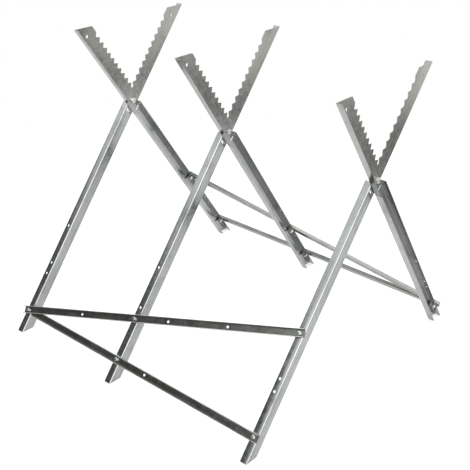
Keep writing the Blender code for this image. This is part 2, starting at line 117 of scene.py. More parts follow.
# ---- settings ----
class SawhorseLegSettings(bpy.types.PropertyGroup):
    """The leg pressing's sizes."""
    below: distance("Below pivot", "Along the leg from the pivot to the ground", 0.700)
    above: distance("Above pivot", "Along the leg from the pivot to the top cut", 0.292)
    sheet: distance("Sheet", "Sheet thickness", 0.002)
    bend: distance("Bend radius", "Outside radius of a fold", 0.003)
    web: distance("Web width", "Width of the channel's back", 0.032)
    brace_side: distance("Brace side", "From the pivot across to the braced flange", 0.010)
    flange: distance("Flange depth", "Depth of both flanges", 0.019)
    tooth_count: IntProperty(name="Teeth", description="Teeth on one arm", default=10, min=1)
    tooth_pitch: distance("Tooth pitch", "From one tooth to the next", 0.0206)
    tooth_depth: distance("Tooth depth", "From tip to root", 0.0100)
    tooth_first: distance("First tooth", "Along the arm from the pivot to the first tip", 0.0437)
    tooth_round: distance("Tooth rounding", "Radius of the tips and roots", 0.0008)
    tip_round: distance("Tip corner", "Radius of the toothed side's top corner", 0.0065)
    edge_round: distance("Edge rounding", "Width of the softened sheared edge", 0.00028)


class SawhorseBraceSettings(bpy.types.PropertyGroup):
    """The brace channel's sizes."""
    sheet: distance("Sheet", "Sheet thickness", 0.0015)
    bend: distance("Bend radius", "Outside radius of a fold", 0.0022)
    width: distance("Width", "Width of the channel's back", 0.020)
    flange: distance("Flange depth", "Depth of both flanges", 0.010)
    overhang: distance("Overhang", "Past the centre of an end hole", 0.013)
    edge_round: distance("Edge rounding", "Width of the softened sheared edge", 0.00022)


class SawhorsePivotSettings(bpy.types.PropertyGroup):
    """The pivot fasteners' sizes."""
    shaft: distance("Shank", "Shank diameter", 0.008)
    pitch: distance("Thread pitch", "From one thread to the next", 0.00125)
    across: distance("Across flats", "Head and nut width across flats", 0.013)
    head: distance("Head", "Head height", 0.0053)
    nut: distance("Nut", "Nut height", 0.0068)
    length: distance("Length", "Shank length under the head", 0.020)
    washer: distance("Washer", "Washer diameter", 0.0165)
    washer_thick: distance("Washer thickness", "Washer thickness", 0.0016)


class SawhorseBraceBoltSettings(bpy.types.PropertyGroup):
    """The brace fasteners' sizes."""
    shaft: distance("Shank", "Shank diameter", 0.006)
    pitch: distance("Thread pitch", "From one thread to the next", 0.001)
    across: distance("Across flats", "Head and nut width across flats", 0.010)
    head: distance("Head", "Head height", 0.0040)
    nut: distance("Nut", "Nut height", 0.0050)
    length: distance("Length", "Shank length under the head", 0.016)
    washer: distance("Washer", "Washer diameter", 0.0120)
    washer_thick: distance("Washer thickness", "Washer thickness", 0.0012)


class SawhorseFinishSettings(bpy.types.PropertyGroup):
    """The metals' colours."""
    leg_light: colour("Leg, bright", "Bright zinc on the legs", (0.385, 0.385, 0.375))
    leg_dark: colour("Leg, dull", "Dull zinc on the legs", (0.160, 0.170, 0.165))
    rear_brace_light: colour("Rear brace, bright", "Bright zinc on the rear braces",
                             (0.30, 0.30, 0.285))
    rear_brace_dark: colour("Rear brace, dull", "Dull zinc on the rear braces",
                            (0.13, 0.13, 0.12))
    # the front braces' zinc is set darker than the rear braces': painted shade
    front_brace_light: colour("Front brace, bright", "Bright patches on the front braces",
                              (0.26, 0.26, 0.240))
    front_brace_dark: colour("Front brace, dull", "Dull patches on the front braces",
                             (0.10, 0.10, 0.086))
    plate_light: colour("Fastener, bright", "Bright plating", (0.62, 0.62, 0.60))
    plate_dark: colour("Fastener, dull", "Dull plating", (0.30, 0.30, 0.29))
    leg_roughness: amount("Leg roughness", "How matt the legs are", 0.16, 1.0)
    brace_roughness: amount("Brace roughness", "How matt the braces are", 0.18, 1.0)
    plate_roughness: amount("Fastener roughness", "How matt the fasteners are", 0.22, 1.0)


class SawhorseStageSettings(bpy.types.PropertyGroup):
    """The floor, light and camera."""
    floor_colour: colour("Floor", "Colour of the pale floor", (0.45, 0.45, 0.45))
    floor_glow: amount("Floor glow", "How much the floor glows, which thins its shadows", 0.60)
    floor_radius: distance("Floor radius", "Where the floor has faded away", 1.7)
    top_light: amount("Ceiling", "Brightness of the ceiling around the zenith", 1.70)
    zenith_light: amount("Zenith", "Brightness straight overhead", 0.80)
    strip_light: amount("Strip light", "Extra brightness of the light in front on the right", 3.0)
    back_light: amount("Back wall", "Brightness of the wall behind", 1.30)
    band_light: amount("Skirting", "Brightness low down behind", 0.34)
    low_light: amount("Front, low", "Brightness in front below the horizon", 0.50)
    card_light: amount("Dark side", "Brightness of the dark side in front", 0.15)
    key_light: amount("Key light", "Power of the soft lamp overhead, in watts", 20.0, 1000.0)
    lens: amount("Lens", "Focal length in millimetres", 69.625, 300.0)


# ---- nodes written as sums ----
class Value:
    """A socket that carries one number; Python's operators add its Math nodes."""

    def __init__(self, graph, socket):
        self.graph = graph
        self.socket = socket

    def __add__(self, other):
        return self.graph.math("ADD", self, other)

    def __sub__(self, other):
        return self.graph.math("SUBTRACT", self, other)

    def __rsub__(self, other):
        return self.graph.math("SUBTRACT", other, self)

    def __mul__(self, other):
        return self.graph.math("MULTIPLY", self, other)

    def __truediv__(self, other):
        return self.graph.math("DIVIDE", self, other)

    __radd__ = __add__

    def smooth(self, start, end, low=0.0, high=1.0):
        """Runs smoothly from low to high as the number goes from start to end."""
        made = self.graph.node("ShaderNodeMapRange", {"interpolation_type": "SMOOTHSTEP"},
                               {0: self, 1: start, 2: end, 3: low, 4: high})
        return Value(self.graph, made.outputs[0])


class Graph:
    """Adds nodes to a shader or geometry tree."""

    def __init__(self, tree):
        self.tree = tree
        tree.nodes.clear()

    def feed(self, socket, value):
        if isinstance(value, Value):
            value = value.socket
        if isinstance(value, bpy.types.NodeSocket):
            self.tree.links.new(value, socket)
        else:
            socket.default_value = value

    def node(self, kind, settings=None, inputs=None):
        """One node: its settings first, then its sockets, by name or number."""
        made = self.tree.nodes.new(kind)
        for name, value in (settings or {}).items():
            setattr(made, name, value)
        for key, value in (inputs or {}).items():
            self.feed(made.inputs[key], value)
        return made

    def math(self, operation, *terms):
        made = self.node("ShaderNodeMath", {"operation": operation}, dict(enumerate(terms)))
        return Value(self, made.outputs[0])

    def vector(self, operation, *terms):
        return self.node("ShaderNodeVectorMath", {"operation": operation},
                         dict(enumerate(terms))).outputs

    def dot(self, first, second):
        return Value(self, self.vector("DOT_PRODUCT", first, second)["Value"])

    def parts(self, vector):
        made = self.node("ShaderNodeSeparateXYZ", None, {0: vector})
        return [Value(self, socket) for socket in made.outputs]

    def point(self, *parts):
        return self.node("ShaderNodeCombineXYZ", None, dict(enumerate(parts))).outputs[0]

    def noise(self, vector, scale, detail=2.0, roughness=0.5):
        made = self.node("ShaderNodeTexNoise", None, {
            "Vector": vector, "Scale": scale, "Detail": detail, "Roughness": roughness})
        return Value(self, made.outputs[0])

    def mix(self, factor, first, second):
        """A colour between two colours."""
        made = self.node("ShaderNodeMix", {"data_type": "RGBA"}, {0: factor, 6: first, 7: second})
        return made.outputs[2]


# ---- metals ----
def zinc_metal(name, light, dark, roughness, grain_from, streaks, spangle,
               bow=0.0, lip=0.0):
    """Zinc on steel: rolled streaks along the piece, faint spangle, dull clouds and handling marks,
    and a painted highlight along a brace's flange lips.

    grain_from names the pressing's own coordinates; without it the pattern sits in the object's.
    bow is the depth of a bulging flange's middle, and lip is where the painted highlight on a
    brace's flange edges begins."""
    material = bpy.data.materials.new(name)
    material.use_nodes = True
    graph = Graph(material.node_tree)
    if grain_from:
        place = graph.node("ShaderNodeAttribute", {"attribute_name": grain_from}).outputs["Vector"]
    else:
        place = graph.node("ShaderNodeTexCoord").outputs["Object"]
    drawn = graph.vector("MULTIPLY", place, DRAWN_OUT)[0]
    fine = graph.noise(drawn, 1500.0, 3.0, 0.6)
    broad = graph.noise(drawn, 260.0, 2.0, 0.5)
    clouds = graph.noise(place, 16.0, 4.0, 0.6)
    patches = graph.noise(place, 5.0, 2.0, 0.5)
    grain = graph.noise(place, 1400.0, 2.0, 0.7)
    flakes = graph.node("ShaderNodeTexVoronoi", {"feature": "F1"},
                        {"Vector": place, "Scale": 130.0, "Randomness": 1.0})
    flake = graph.dot(flakes.outputs["Color"], (0.33, 0.33, 0.34))
    dull = clouds.smooth(0.50, 0.72)
    marks = graph.noise(graph.vector("MULTIPLY", place, (60.0, 9.0, 34.0))[0], 1.0, 5.0, 0.7)
    mark = marks.smooth(0.66, 0.72)
    tone = (0.62 + (fine - 0.5) * (0.9 * streaks) + (broad - 0.5) * (1.1 * streaks)
            + (flake - 0.5) * spangle + (patches - 0.5) * 0.9 - dull * 0.22 - mark * 0.15)
    base = graph.mix(tone.smooth(0.0, 1.0), (*dark, 1.0), (*light, 1.0))
    matt = (roughness + (fine - 0.5) * (0.20 * streaks) + (flake - 0.5) * (0.5 * spangle)
            + dull * 0.10 + mark * 0.12 + (grain - 0.5) * 0.06)
    into, aside = graph.parts(place)[:2]
    # painted highlight: pale zinc along a brace's flange lips, made a little rougher there
    if lip:
        flange = graph.math("ABSOLUTE", aside).smooth(lip, lip + LIP_BLEND)
        sheared = into.smooth(*LIP_DEEP)
        lip_highlight = flange * sheared * (0.75 + (fine - 0.5) * 1.0)
        base = graph.mix(lip_highlight, base, (*LIP_HIGHLIGHT_ZINC, 1.0))
        matt = matt + lip_highlight * 0.18
    rise = graph.noise(graph.vector("MULTIPLY", place, (1.0, 1.0, 0.35))[0], 11.0, 2.0, 0.4)
    height = rise * WAVINESS
    if bow:
        deep = into + bow
        height = height - deep * deep * BOW
    wave = graph.node("ShaderNodeBump", None, {"Strength": 1.0, "Distance": 1.0, "Height": height})
    relief = graph.node("ShaderNodeBump", None, {
        "Strength": 0.35, "Distance": 0.00006,
        "Height": fine * streaks + grain * 0.5 + flake * spangle - mark * 0.4,
        "Normal": wave.outputs[0]})
    shader = graph.node("ShaderNodeBsdfPrincipled", None, {
        "Base Color": base, "Roughness": matt, "Metallic": 1.0, "Normal": relief.outputs[0]})
    graph.node("ShaderNodeOutputMaterial", None, {"Surface": shader.outputs[0]})
    material.diffuse_color = (*light, 1.0)
    return material


# ---- mesh helpers ----
def new_object(name, mesh):
    obj = bpy.data.objects.new(name, mesh)
    bpy.context.scene.collection.objects.link(obj)
    return obj


def baked(obj, name):
    """A plain mesh of the object with its modifiers applied; the object and its tools go."""
    bpy.context.view_layer.update()
    depsgraph = bpy.context.evaluated_depsgraph_get()
    mesh = bpy.data.meshes.new_from_object(obj.evaluated_get(depsgraph), depsgraph=depsgraph)
    mesh.name = name
    tools = [modifier.object for modifier in obj.modifiers if modifier.type == "BOOLEAN"]
    obj.modifiers.clear()
    for used in [obj] + tools:
        bpy.data.objects.remove(used, do_unlink=True)
    return mesh


def from_bmesh(name, body):
    bmesh.ops.recalc_face_normals(body, faces=body.faces)
    mesh = bpy.data.meshes.new(name)
    body.to_mesh(mesh)
    body.free()
    return new_object(name, mesh)


def plate(name, outline, low, high, matrix=Matrix.Identity(4)):
    """A flat outline made solid from low to high along its own Z, then turned by matrix."""
    body = bmesh.new()
    rings = [[body.verts.new(matrix @ Vector((u, v, w))) for u, v in outline] for w in (low, high)]
    body.faces.new(rings[0])
    body.faces.new(rings[1][::-1])
    for i in range(len(outline)):
        j = (i + 1) % len(outline)
        body.faces.new((rings[0][i], rings[0][j], rings[1][j], rings[1][i]))
    return from_bmesh(name, body)


def block(name, corner, opposite, matrix=Matrix.Identity(4)):
    """A box between two corners, then turned by matrix."""
    (x0, y0, z0), (x1, y1, z1) = corner, opposite
    return plate(name, [(x0, y0), (x1, y0), (x1, y1), (x0, y1)], z0, z1, matrix)


def turned(name, profile, sides):
    """A closed profile of (radius, height) points turned about Z."""
    body = bmesh.new()
    verts = [body.verts.new((radius, 0.0, height)) for radius, height in profile]
    edges = [body.edges.new((verts[i], verts[(i + 1) % len(verts)])) for i in range(len(verts))]
    bmesh.ops.spin(body, geom=verts + edges, angle=math.tau, steps=sides, axis=(0, 0, 1),
                   cent=(0, 0, 0), use_merge=True)
    bmesh.ops.remove_doubles(body, verts=body.verts, dist=1e-6)
    bmesh.ops.dissolve_degenerate(body, edges=body.edges, dist=1e-7)
    return from_bmesh(name, body)


def combine(target, tool, operation="DIFFERENCE"):
    """Cut, join or intersect the target with a tool body."""
    modifier = target.modifiers.new(tool.name, "BOOLEAN")
    modifier.operation = operation
    modifier.solver = "EXACT"
    modifier.object = tool


def fold_arc(centre_x, centre_y, radius, start, end, steps=9):
    """Points along the curve of a fold."""
    angles = [start + (end - start) * i / steps for i in range(steps + 1)]
    return [(centre_x + radius * math.cos(a), centre_y + radius * math.sin(a)) for a in angles]


def channel_outline(low, high, depth, sheet, radius):
    """A folded channel's cross-section: web outer face on x = 0, flanges towards -X."""
    inner = radius - sheet
    quarter = math.pi / 2
    outline = [(-depth, low)]
    outline += fold_arc(-radius, low + radius, radius, -quarter, 0.0)
    outline += fold_arc(-radius, high - radius, radius, 0.0, quarter)
    outline += [(-depth, high), (-depth, high - sheet)]
    outline += fold_arc(-radius, high - radius, inner, quarter, 0.0)
    outline += fold_arc(-radius, low + radius, inner, 0.0, -quarter)
    outline += [(-depth, low + sheet)]
    return outline


def soften(obj, width):
    """Clean the cuts, round the sheared edges and keep the flats flat-shaded."""
    mesh = baked(obj, obj.name)
    body = bmesh.new()
    body.from_mesh(mesh)
    bmesh.ops.remove_doubles(body, verts=body.verts, dist=2e-6)
    bmesh.ops.dissolve_limit(body, angle_limit=math.radians(0.5), verts=body.verts,
                             edges=body.edges, delimit=set())
    body.to_mesh(mesh)
    body.free()
    mesh.shade_smooth()
    obj = new_object(mesh.name, mesh)
    bevel = obj.modifiers.new("rounded_edges", "BEVEL")
    bevel.width = width
    bevel.segments = 2
    bevel.limit_method = "ANGLE"
    bevel.angle_limit = math.radians(28.0)
    weigh = obj.modifiers.new("flat_faces", "WEIGHTED_NORMAL")
    weigh.keep_sharp = False
    weigh.weight = 90
    return baked(obj, obj.name)


def stand(name, mesh, place, body, nodes, material, offset):
    """Put a pressing in place as one piece and hang it on its body."""
    mesh = mesh.copy()
    mesh.name = name
    grain = mesh.attributes.new(ROLLED, "FLOAT_VECTOR", "POINT")
    for vertex, value in zip(mesh.vertices, grain.data):
        value.vector = vertex.co + offset
    mesh.transform(place)
    mesh.materials.clear()
    mesh.materials.append(material)
    piece = new_object(name, mesh)
    claim(piece, body, nodes)
    return piece


def claim(piece, body, nodes):
    """Say what the piece rides on and stands for, and check that it fills the same space."""
    corners = [piece.matrix_world @ vertex.co for vertex in piece.data.vertices]
    for axis in range(3):
        low = min(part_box(node)[0][axis] for node in nodes)
        high = max(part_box(node)[1][axis] for node in nodes)
        mine = [corner[axis] for corner in corners]
        if abs(min(mine) - low) > FIT or abs(max(mine) - high) > FIT:
            raise RuntimeError("%s leaves its place: axis %d, %.5f to %.5f instead of %.5f to %.5f"
                               % (piece.name, axis, min(mine), max(mine), low, high))
    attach(piece, body)
    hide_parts(*nodes)


# ---- geometry node trees ----
def new_tree(name, **inputs):
    """A tree's graph and its input values; the inputs' labels are given by the sockets' kind."""
    tree = bpy.data.node_groups.new(name, "GeometryNodeTree")
    tree.interface.new_socket("Geometry", in_out="INPUT", socket_type="NodeSocketGeometry")
    tree.interface.new_socket("Geometry", in_out="OUTPUT", socket_type="NodeSocketGeometry")
    for kind, labels in inputs.items():
        for label in labels:
            tree.interface.new_socket(label, in_out="INPUT", socket_type="NodeSocket" + kind)
    graph = Graph(tree)
    entry = graph.node("NodeGroupInput")
    return graph, {socket.name: Value(graph, socket) for socket in entry.outputs if socket.name}


def close_tree(graph, geometry, material):
    """End a tree with real geometry in its material."""
    real = graph.node("GeometryNodeRealizeInstances", None, {0: geometry})
    dressed = graph.node("GeometryNodeSetMaterial", None,
                         {"Geometry": real.outputs[0], "Material": material})
    graph.node("NodeGroupOutput", None, {0: dressed.outputs[0]})
    return graph.tree


def grown(name, mesh, tree, values):
    """The plain mesh that a geometry tree makes from a start mesh and its input values."""
    obj = new_object(name, mesh)
    modifier = obj.modifiers.new(tree.name, "NODES")
    modifier.node_group = tree
    for item in tree.interface.items_tree:
        if item.in_out == "INPUT" and item.name in values:
            modifier[item.identifier] = values[item.name]
    return baked(obj, name)


def toothed_strip_tree(material):
    """A strip with a row of saw teeth, counted out tooth by tooth, rounded and thickened."""
    graph, v = new_tree("toothed_strip", Int=("Teeth",), Float=(
        "Pitch", "Depth", "First Tip", "Tip Across", "Inside", "Start", "End", "Rounding", "Sheet"))
    index = Value(graph, graph.node("GeometryNodeInputIndex").outputs[0])
    # in turn: two points at the start, a tip and a root for each tooth, a last tip, two at the end
    step = index - 2.0
    odd = graph.math("FLOORED_MODULO", step, 2.0)
    count = v["Teeth"] * 2.0 + 3.0
    along_teeth = v["First Tip"] - v["Pitch"] + step * v["Pitch"] * 0.5
    across_teeth = v["Tip Across"] + odd * v["Depth"]
    before = graph.math("LESS_THAN", index, 1.5)
    after = graph.math("GREATER_THAN", step, count - 0.5)
    first = graph.math("LESS_THAN", index, 0.5)
    last = graph.math("GREATER_THAN", step, count + 0.5)
    teeth = 1.0 - before - after
    along = along_teeth * teeth + v["Start"] * before + v["End"] * after
    across = across_teeth * teeth + v["Inside"] * (first + last) + v["Tip Across"] * (
        before - first + after - last)
    spot = graph.point(across, along, 0.0)
    line = graph.node("GeometryNodeMeshLine", None, {"Count": count + 4.0})
    placed = graph.node("GeometryNodeSetPosition", None,
                        {"Geometry": line.outputs[0], "Position": spot})
    curve = graph.node("GeometryNodeMeshToCurve", None, {"Mesh": placed.outputs[0]})
    ring = graph.node("GeometryNodeSetSplineCyclic", None,
                      {"Geometry": curve.outputs[0], "Cyclic": True})
    rounded = graph.node("GeometryNodeFilletCurve", {"mode": "POLY"}, {
        "Curve": ring.outputs[0], "Count": 3, "Radius": v["Rounding"], "Limit Radius": True})
    face = graph.node("GeometryNodeFillCurve", {"mode": "NGONS"}, {"Curve": rounded.outputs[0]})
    solid = graph.node("GeometryNodeExtrudeMesh", {"mode": "FACES"}, {
        "Mesh": face.outputs[0], "Offset Scale": v["Sheet"], "Individual": False})
    back = graph.node("GeometryNodeFlipFaces", None, {0: face.outputs[0]})
    both = graph.node("GeometryNodeJoinGeometry")
    graph.tree.links.new(back.outputs[0], both.inputs[0])
    graph.tree.links.new(solid.outputs[0], both.inputs[0])
    closed = graph.node("GeometryNodeMergeByDistance", None,
                        {"Geometry": both.outputs[0], "Distance": 1e-6})
    return close_tree(graph, closed.outputs[0], material)


def on_points(graph, points, instance, material, spin=None):
    """End a tree with one instance on each point, spun and then aimed the way the point looks."""
    aim = graph.node("GeometryNodeInputNamedAttribute", {"data_type": "FLOAT_VECTOR"},
                     {"Name": "aim"})
    aimed = graph.node("FunctionNodeAlignRotationToVector", {"axis": "Z"},
                       {"Vector": aim.outputs[0]})
    if spin is not None:
        graph.feed(aimed.inputs["Rotation"], spin)
    row = graph.node("GeometryNodeInstanceOnPoints", None, {
        "Points": points, "Instance": instance, "Rotation": aimed.outputs[0]})
    return close_tree(graph, row.outputs[0], material)


def drill_tree(material):
    """Round bars, one on each point, to cut holes with."""
    graph, v = new_tree("drilled_holes", Float=("Diameter",))
    bar = graph.node("GeometryNodeMeshCylinder", {"fill_type": "NGON"}, {
        "Vertices": HOLE_SIDES, "Side Segments": 1, "Fill Segments": 1,
        "Radius": v["Diameter"] * 0.5, "Depth": SHORT_BAR})
    return on_points(graph, v["Geometry"], bar.outputs[0], material)


def thread_tree(material):
    """A screw thread: a bar whose radius runs round it as a helix, tapered at its end."""
    graph, v = new_tree("screw_thread",
                        Float=("Diameter", "Pitch", "Depth", "Length", "Taper", "Root"))
    rings = graph.math("ROUND", (v["Length"] + v["Root"]) / v["Pitch"] * THREAD_RINGS)
    bar = graph.node("GeometryNodeMeshCylinder", {"fill_type": "NGON"}, {
        "Vertices": THREAD_SIDES, "Side Segments": rings, "Fill Segments": 1,
        "Radius": v["Diameter"] * 0.5, "Depth": v["Length"] + v["Root"]})
    raised = graph.node("GeometryNodeTransform", None, {
        "Geometry": bar.outputs[0],
        "Translation": graph.point(0.0, 0.0, (v["Length"] - v["Root"]) * 0.5)})
    x, y, z = graph.parts(graph.node("GeometryNodeInputPosition").outputs[0])
    turn = graph.math("ARCTAN2", y, x) / math.tau
    phase = graph.math("FRACT", z / v["Pitch"] - turn)
    ramp = graph.math("ABSOLUTE", phase * 2.0 - 1.0)
    groove = ramp * v["Depth"]
    taper = graph.math("MAXIMUM", z - v["Length"] + v["Taper"], 0.0) * 0.8
    share = 1.0 - (groove + taper) / (v["Diameter"] * 0.5)
    made = graph.node("GeometryNodeSetPosition", None, {
        "Geometry": raised.outputs[0], "Position": graph.point(x * share, y * share, z)})
    return close_tree(graph, made.outputs[0], material)


def fastener_row_tree(material):
    """One fastener on each point, aimed along its hole and turned at random about it."""
    graph, v = new_tree("fastener_row", Object=("Piece",), Int=("Seed",))
    shape = graph.node("GeometryNodeObjectInfo", {"transform_space": "ORIGINAL"},
                       {"Object": v["Piece"]})
    spin = graph.node("FunctionNodeRandomValue", {"data_type": "FLOAT"},
                      {2: 0.0, 3: math.tau, "Seed": v["Seed"]})
    about = graph.node("FunctionNodeAxisAngleToRotation", None,
                       {"Axis": (0.0, 0.0, 1.0), "Angle": spin.outputs[1]})
    return on_points(graph, v["Geometry"], shape.outputs["Geometry"], material, about.outputs[0])


def aimed_points(name, spots, aims):
    """A mesh of loose points, each with the way it looks."""
    mesh = bpy.data.meshes.new(name)
    mesh.from_pydata([tuple(spot) for spot in spots], [], [])
    aim = mesh.attributes.new("aim", "FLOAT_VECTOR", "POINT")
    for value, way in zip(aim.data, aims):
        value.vector = way
    return mesh


def drill_holes(target, name, spots, aim, diameter, drill):
    """Cut a row of round holes through one sheet, all of them along aim."""
    holes = grown(name, aimed_points(name, spots, [aim] * len(spots)), drill,
                  {"Diameter": diameter})
    combine(target, new_object(name, holes))


# ---- legs ----
# the pressing's cuts, in its own frame: origin on the pivot, Z up the leg, Y away from the teeth
FLANGE_START = -0.010  # where the braced flange ends near the pivot
RELIEF = 0.002  # between that end and the flat toothed strip
TEETH_INSET = 0.0016  # a tooth tip's distance short of the flange's full reach
STRIP_OVERLAP = 0.002  # the toothed strip's overlap with the web that it joins
NOTCH = ((-0.031, -0.0026), (-0.031, -0.069), (0.012 + 0.0182 * 4.0, -0.069), (0.012, -0.0026))
SLOT_ALONG = -0.0305
SLOT_ACROSS = -0.001
SLOT_LENGTH = 0.016
SLOT_WIDTH = 0.0046
TIP_HOLE = (0.0, 0.002, 0.263)
TIP_HOLE_DIAMETER = 0.0085
BRACE_HOLE_FROM_WEB = 0.0117
BRACE_HOLE_FIRST = 0.6445
BRACE_HOLE_SPAN = 0.255
MIDDLE_SHARE = 0.4375
BRACE_HOLES = [BRACE_HOLE_FIRST - share * BRACE_HOLE_SPAN
               for share in (0.0, MIDDLE_SHARE, 1.0 - MIDDLE_SHARE, 1.0)]
WEB_PLANE = Matrix(((0, 0, 1, 0), (1, 0, 0, 0), (0, 1, 0, 0), (0, 0, 0, 1)))
SIDE_PLANE = Matrix(((0, 1, 0, 0), (0, 0, 1, 0), (1, 0, 0, 0), (0, 0, 0, 1)))
ACROSS_WEB = Vector((1.0, 0.0, 0.0))
ACROSS_FLANGE = Vector((0.0, 1.0, 0.0))


def leg_place(side, name):
    """Where a leg's own frame stands: its web lies against the other leg's."""
    low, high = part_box("%s_leg_%s" % (side, name))
    turn = Matrix.Translation((0.0, 0.0, PIVOT.z)) @ LEG_TURN
    if side == "front":
        return Matrix.Translation((high.x, 0.0, 0.0)) @ turn
    return Matrix.Translation((low.x, 0.0, 0.0)) @ HALF_TURN @ turn


def slot_outline():
    """The slot's outline with round ends, along its own Y."""
    half = (SLOT_LENGTH - SLOT_WIDTH) / 2
    upper = fold_arc(0.0, half, SLOT_WIDTH / 2, 0.0, math.pi, 12)
    return upper + [(-u, -v) for u, v in upper]


def corner_waste(across, height, radius):
    """What rounding takes off between the toothed edge and the level top, in the leg's Y and Z."""
    inset = radius * math.tan(HALF_ANGLE / 2 + math.pi / 4 - HALF_ANGLE)
    corner = Vector((across, height))
    centre = Vector((across + radius, height - inset))
    turn = math.pi / 2 - HALF_ANGLE
    arc = fold_arc(centre.x, centre.y, radius, math.pi, math.pi - turn, 10)
    past = Vector((-math.cos(turn), math.sin(turn))) * radius
    return arc + [tuple(Vector(arc[-1]) + past), tuple(corner + Vector((-radius, radius))),
                  (across - radius, arc[0][1])]


def leg_pressing(legs, material, drill):
    """One leg in its own frame."""
    bottom = -legs.below - PAST
    top = legs.above + PAST
    leg = plate("leg_blank", channel_outline(-legs.brace_side, legs.web - legs.brace_side,
                                             legs.flange, legs.sheet, legs.bend), bottom, top)
    edge = -(legs.brace_side - legs.bend)
    combine(leg, block("flat_arm_cut", (-legs.flange - PAST, -legs.brace_side - PAST, FLANGE_START),
                       (PAST, edge, top + PAST)))
    tip_across = -(legs.brace_side + legs.flange - TEETH_INSET)
    strip = grown("toothed_strip", bpy.data.meshes.new("toothed_strip"),
                  toothed_strip_tree(material), {
                      "Teeth": legs.tooth_count, "Pitch": legs.tooth_pitch,
                      "Depth": legs.tooth_depth, "First Tip": legs.tooth_first,
                      "Tip Across": tip_across, "Inside": edge + STRIP_OVERLAP,
                      "Start": FLANGE_START + RELIEF, "End": top,
                      "Rounding": legs.tooth_round, "Sheet": legs.sheet})
    strip.transform(Matrix.Translation((-legs.sheet, 0.0, 0.0)) @ WEB_PLANE)
    body = bmesh.new()
    body.from_mesh(strip)
    combine(leg, from_bmesh("toothed_strip", body), "UNION")
    plain = legs.web - legs.brace_side
    combine(leg, plate("flange_notch", NOTCH, plain - legs.bend - legs.sheet, plain + PAST,
                       SIDE_PLANE))
    slot_turn = Matrix.Rotation(2 * HALF_ANGLE, 4, "X")
    slot = Matrix.Translation((0.0, -SLOT_ACROSS, SLOT_ALONG)) @ slot_turn
    combine(leg, plate("lanced_slot", slot_outline(), -PAST, PAST, slot @ WEB_PLANE))
    bolts = bpy.context.scene.sawhorse_brace_bolts
    pivots = bpy.context.scene.sawhorse_pivots
    flange_middle = -legs.brace_side + legs.sheet / 2
    drilled = (
        ("pivot_hole", [(0.0, 0.0, 0.0)], ACROSS_WEB, pivots.shaft + 2 * HOLE_GAP),
        ("tip_hole", [TIP_HOLE], ACROSS_WEB, TIP_HOLE_DIAMETER),
        ("brace_holes", [(-BRACE_HOLE_FROM_WEB, flange_middle, -down) for down in BRACE_HOLES],
         ACROSS_FLANGE, bolts.shaft + 2 * HOLE_GAP))
    for name, spots, aim, diameter in drilled:
        drill_holes(leg, name, spots, aim, diameter, drill)
    into_leg = (Matrix.Translation((0.0, 0.0, PIVOT.z)) @ LEG_TURN).inverted()
    reach = legs.below
    top_height = PIVOT.z + legs.above * math.cos(HALF_ANGLE)
    combine(leg, block("ground_cut", (-reach, -reach, -reach), (reach, reach, 0.0), into_leg))
    combine(leg, block("top_cut", (-reach, -reach, top_height), (reach, reach, top_height + reach),
                       into_leg))
    level = top_height - PIVOT.z
    corner_height = (level + tip_across * math.sin(HALF_ANGLE)) / math.cos(HALF_ANGLE)
    combine(leg, plate("tip_corner", corner_waste(tip_across, corner_height, legs.tip_round),
                       -PAST, PAST, WEB_PLANE))
    return soften(leg, legs.edge_round)


# ---- braces ----
SPARE_SHARE = 0.23  # the long brace's unused holes, from each end
TRIM_INSET = 0.0004  # a trim's reach past the fold


def leg_point(name, hole, out):
    """A point on a front leg's line of brace holes, out from its middle line."""
    local = Vector((-BRACE_HOLE_FROM_WEB, -out, -BRACE_HOLES[hole]))
    return leg_place("front", name) @ local


def brace_place(start, end):
    """Stand a brace on its first hole, its flanges pointing away from the legs."""
    along = (end - start).normalized()
    inward = -(OUTWARD - OUTWARD.dot(along) * along).normalized()
    across = along.cross(inward)
    turn = Matrix((inward, across, along)).transposed().to_4x4()
    return Matrix.Translation(start) @ turn


def brace_channel(braces, name, length, shares, trims, drill):
    """A channel along Z: its origin is its first end hole, its open side is towards -X."""
    half = braces.width / 2
    brace = plate(name, channel_outline(-half, half, braces.flange, braces.sheet, braces.bend),
                  -braces.overhang, length + braces.overhang)
    bolts = bpy.context.scene.sawhorse_brace_bolts
    spots = [(-braces.sheet / 2, 0.0, share * length) for share in shares]
    drill_holes(brace, name + "_holes", spots, ACROSS_WEB, bolts.shaft + 2 * HOLE_GAP, drill)
    for side, up_to in trims:
        low, high = sorted((side * (half - braces.bend - TRIM_INSET), side * (half + PAST)))
        combine(brace, block(name + "_trim", (-braces.flange - PAST, low, -braces.overhang - PAST),
                             (PAST, high, up_to)))
    return soften(brace, braces.edge_round)


# ---- fasteners ----
ROUND_SIDES = 48  # sides of a turned head, nut or washer
BORE_GAP = 0.00008  # around a shank in its nut
COUNTERSINK = 0.0005  # at each end of a nut's bore
HEAD_EDGE = 0.00012  # width of a bolt head's softened edges
NUT_EDGE = 0.0001  # width of a nut's softened edges
# a head's chamfer and dome, as shares of its corner radius and of its height
CROWN = ((1.1, 0.52), (1.0, 0.62), (0.93, 0.78), (0.84, 0.89), (0.70, 0.955), (0.45, 0.988),
         (0.2, 0.999), (0.0, 0.9999))


def hexagon(name, across, low, high):
    corner = across / 2 / math.cos(math.pi / 6)
    ring = [(corner * math.cos(i * math.pi / 3), corner * math.sin(i * math.pi / 3))
            for i in range(6)]
    return plate(name, ring, low, high)


